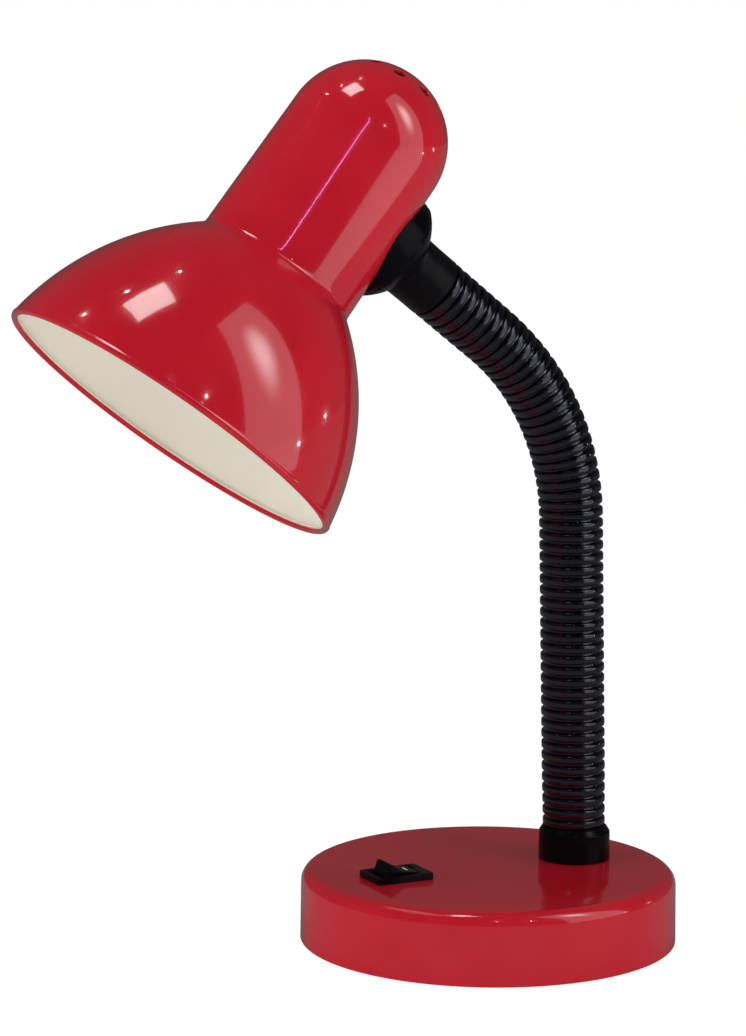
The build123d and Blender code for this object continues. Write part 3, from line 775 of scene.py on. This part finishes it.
for node_name, material in finishes.items():
    nodes[node_name].data.materials.clear()
    nodes[node_name].data.materials.append(material)


# ================= camera =================
azimuth, elevation, roll = math.radians(63.355), math.radians(8.48), math.radians(0.342)
camera_place = Vector((1.14978, -0.62583, 0.35313))
right = Vector((math.cos(azimuth), math.sin(azimuth), 0))
back = Vector((
    math.sin(azimuth) * math.cos(elevation),
    -math.cos(azimuth) * math.cos(elevation),
    math.sin(elevation),
))
up = back.cross(right)
camera_data = bpy.data.cameras.new("camera")
camera_data.sensor_width = 36.0
camera_data.lens = 125.1
camera_data.clip_end = 50
camera = bpy.data.objects.new("camera", camera_data)
bpy.context.scene.collection.objects.link(camera)
camera_x = right * math.cos(roll) + up * math.sin(roll)
camera_y = up * math.cos(roll) - right * math.sin(roll)
turned = Matrix((camera_x, camera_y, back)).transposed().to_4x4()
camera.matrix_world = Matrix.Translation(camera_place) @ turned
bpy.context.scene.camera = camera


# ================= studio =================
# brightness of room and floor: as a fill for the lamp, and as mirrored in it
room_fill = 0.54
room_behind = 0.055
room_in_front = 0.01
floor_fill = 0.98
floor_mirrored = 0.015


def direction(side, rise):
    """A direction given in degrees to the right of the camera's and above level."""
    a, e = azimuth + math.radians(side), math.radians(rise)
    return Vector((math.sin(a) * math.cos(e), -math.cos(a) * math.cos(e), math.sin(e)))


def seen_as(tree, camera_value, mirrored, fill):
    """One brightness for the camera, one (a number or a socket) for glossy rays, one for the rest."""
    path = tree.nodes.new("ShaderNodeLightPath")
    by_gloss = tree.nodes.new("ShaderNodeMix")
    by_gloss.inputs["A"].default_value = fill
    if isinstance(mirrored, float):
        by_gloss.inputs["B"].default_value = mirrored
    else:
        tree.links.new(mirrored, by_gloss.inputs["B"])
    tree.links.new(path.outputs["Is Glossy Ray"], by_gloss.inputs["Factor"])
    by_camera = tree.nodes.new("ShaderNodeMix")
    by_camera.inputs["B"].default_value = camera_value
    tree.links.new(path.outputs["Is Camera Ray"], by_camera.inputs["Factor"])
    tree.links.new(by_gloss.outputs["Result"], by_camera.inputs["A"])
    return by_camera.outputs["Result"]


def make_floor():
    """A plain white sweep under the lamp, dimmer where the lamp mirrors it."""
    size = 6.0
    mesh = bpy.data.meshes.new("floor")
    corners = [(-size, -size, 0), (size, -size, 0), (size, size, 0), (-size, size, 0)]
    mesh.from_pydata(corners, [], [(0, 1, 2, 3)])
    floor = bpy.data.objects.new("floor", mesh)
    bpy.context.scene.collection.objects.link(floor)
    material, shader, tree = new_material("floor_white")
    shader.inputs["Base Color"].default_value = (0.16, 0.16, 0.16, 1)
    shader.inputs["Roughness"].default_value = 0.9
    shader.inputs["Specular IOR Level"].default_value = 0.0
    shader.inputs["Emission Color"].default_value = (1, 1, 1, 1)
    strength = seen_as(tree, 0.92, floor_mirrored, floor_fill)
    tree.links.new(strength, shader.inputs["Emission Strength"])
    mesh.materials.append(material)


def add_light(name, data, side, rise, distance, power, colour, target):
    """Put a light at a distance from a target, in a direction from the camera's, facing it."""
    data.energy = power
    data.color = colour
    lamp = bpy.data.objects.new(name, data)
    bpy.context.scene.collection.objects.link(lamp)
    way = direction(side, rise)
    lamp.location = Vector(target) + way * distance
    lamp.rotation_mode = "QUATERNION"
    lamp.rotation_quaternion = way.to_track_quat("Z", "Y")
    lamp.visible_camera = False
    return lamp


def softbox(
    name, side, rise, distance, width, height, power, colour=(1, 1, 1), hot=0.0, target=(0, -0.03, 0.2)
):
    """A rectangular light, brighter at its middle by the share hot."""
    data = bpy.data.lights.new(name, "AREA")
    data.shape = "RECTANGLE"
    data.size = width
    data.size_y = height
    data.use_nodes = True
    tree = data.node_tree
    emission = tree.nodes["Emission"]
    place = tree.nodes.new("ShaderNodeNewGeometry")
    centred = tree.nodes.new("ShaderNodeVectorMath")
    centred.operation = "DISTANCE"
    centred.inputs[1].default_value = (0.5, 0.5, 0)
    tree.links.new(place.outputs["Parametric"], centred.inputs[0])
    glow = tree.nodes.new("ShaderNodeMapRange")
    glow.interpolation_type = "SMOOTHERSTEP"
    glow.inputs["From Min"].default_value = 0.0
    glow.inputs["From Max"].default_value = 0.30
    glow.inputs["To Min"].default_value = 1.0 + hot
    glow.inputs["To Max"].default_value = 1.0
    tree.links.new(centred.outputs["Value"], glow.inputs["Value"])
    tree.links.new(glow.outputs["Result"], emission.inputs["Strength"])
    return add_light(name, data, side, rise, distance, power, colour, target)


def spot_lamp(name, side, rise, distance, power):
    """A small bare lamp."""
    data = bpy.data.lights.new(name, "POINT")
    data.shadow_soft_size = 0.012
    return add_light(name, data, side, rise, distance, power, (1, 1, 1), (0, -0.05, 0.29))


def make_world():
    """White for the camera, an even grey fill, and a dark studio for the reflections."""
    world = bpy.data.worlds.new("studio")
    bpy.context.scene.world = world
    world.use_nodes = True
    tree = world.node_tree
    room = tree.nodes["Background"]
    room.inputs["Color"].default_value = (1, 1, 1, 1)
    places = tree.nodes.new("ShaderNodeTexCoord")
    along = tree.nodes.new("ShaderNodeVectorMath")
    along.operation = "DOT_PRODUCT"
    along.inputs[1].default_value = back
    tree.links.new(places.outputs["Generated"], along.inputs[0])
    mirrored = spread(tree, along.outputs["Value"], room_behind, room_in_front, -0.7, 0.2)
    strength = seen_as(tree, 1.0, mirrored, room_fill)
    tree.links.new(strength, room.inputs["Strength"])


make_floor()
make_world()
softbox("wide_softbox", 68, 0, 0.68, 0.47, 1.46, 1.6, hot=5.5, target=(0, -0.05, 0.76))
softbox("top_softbox", -62, 76, 1.1, 0.30, 0.30, 1.6)
softbox("tube", 7, 32, 1.1, 0.016, 0.23, 0.15, (1.0, 0.35, 1.0), target=(0, -0.05, 0.29))
left_fill = softbox("left_fill", -80, 25, 1.2, 1.0, 1.3, 4.8)
left_fill.visible_glossy = False
spot_directions = ((-161, 78), (-105, 67), (-98, 52), (30, 26), (88, -9), (110, -5))
for number, (side, rise) in enumerate(spot_directions):
    spot_lamp(f"lamp_{number + 1}", side, rise, 1.1, 0.25)
bpy.context.scene.view_settings.view_transform = "Standard"
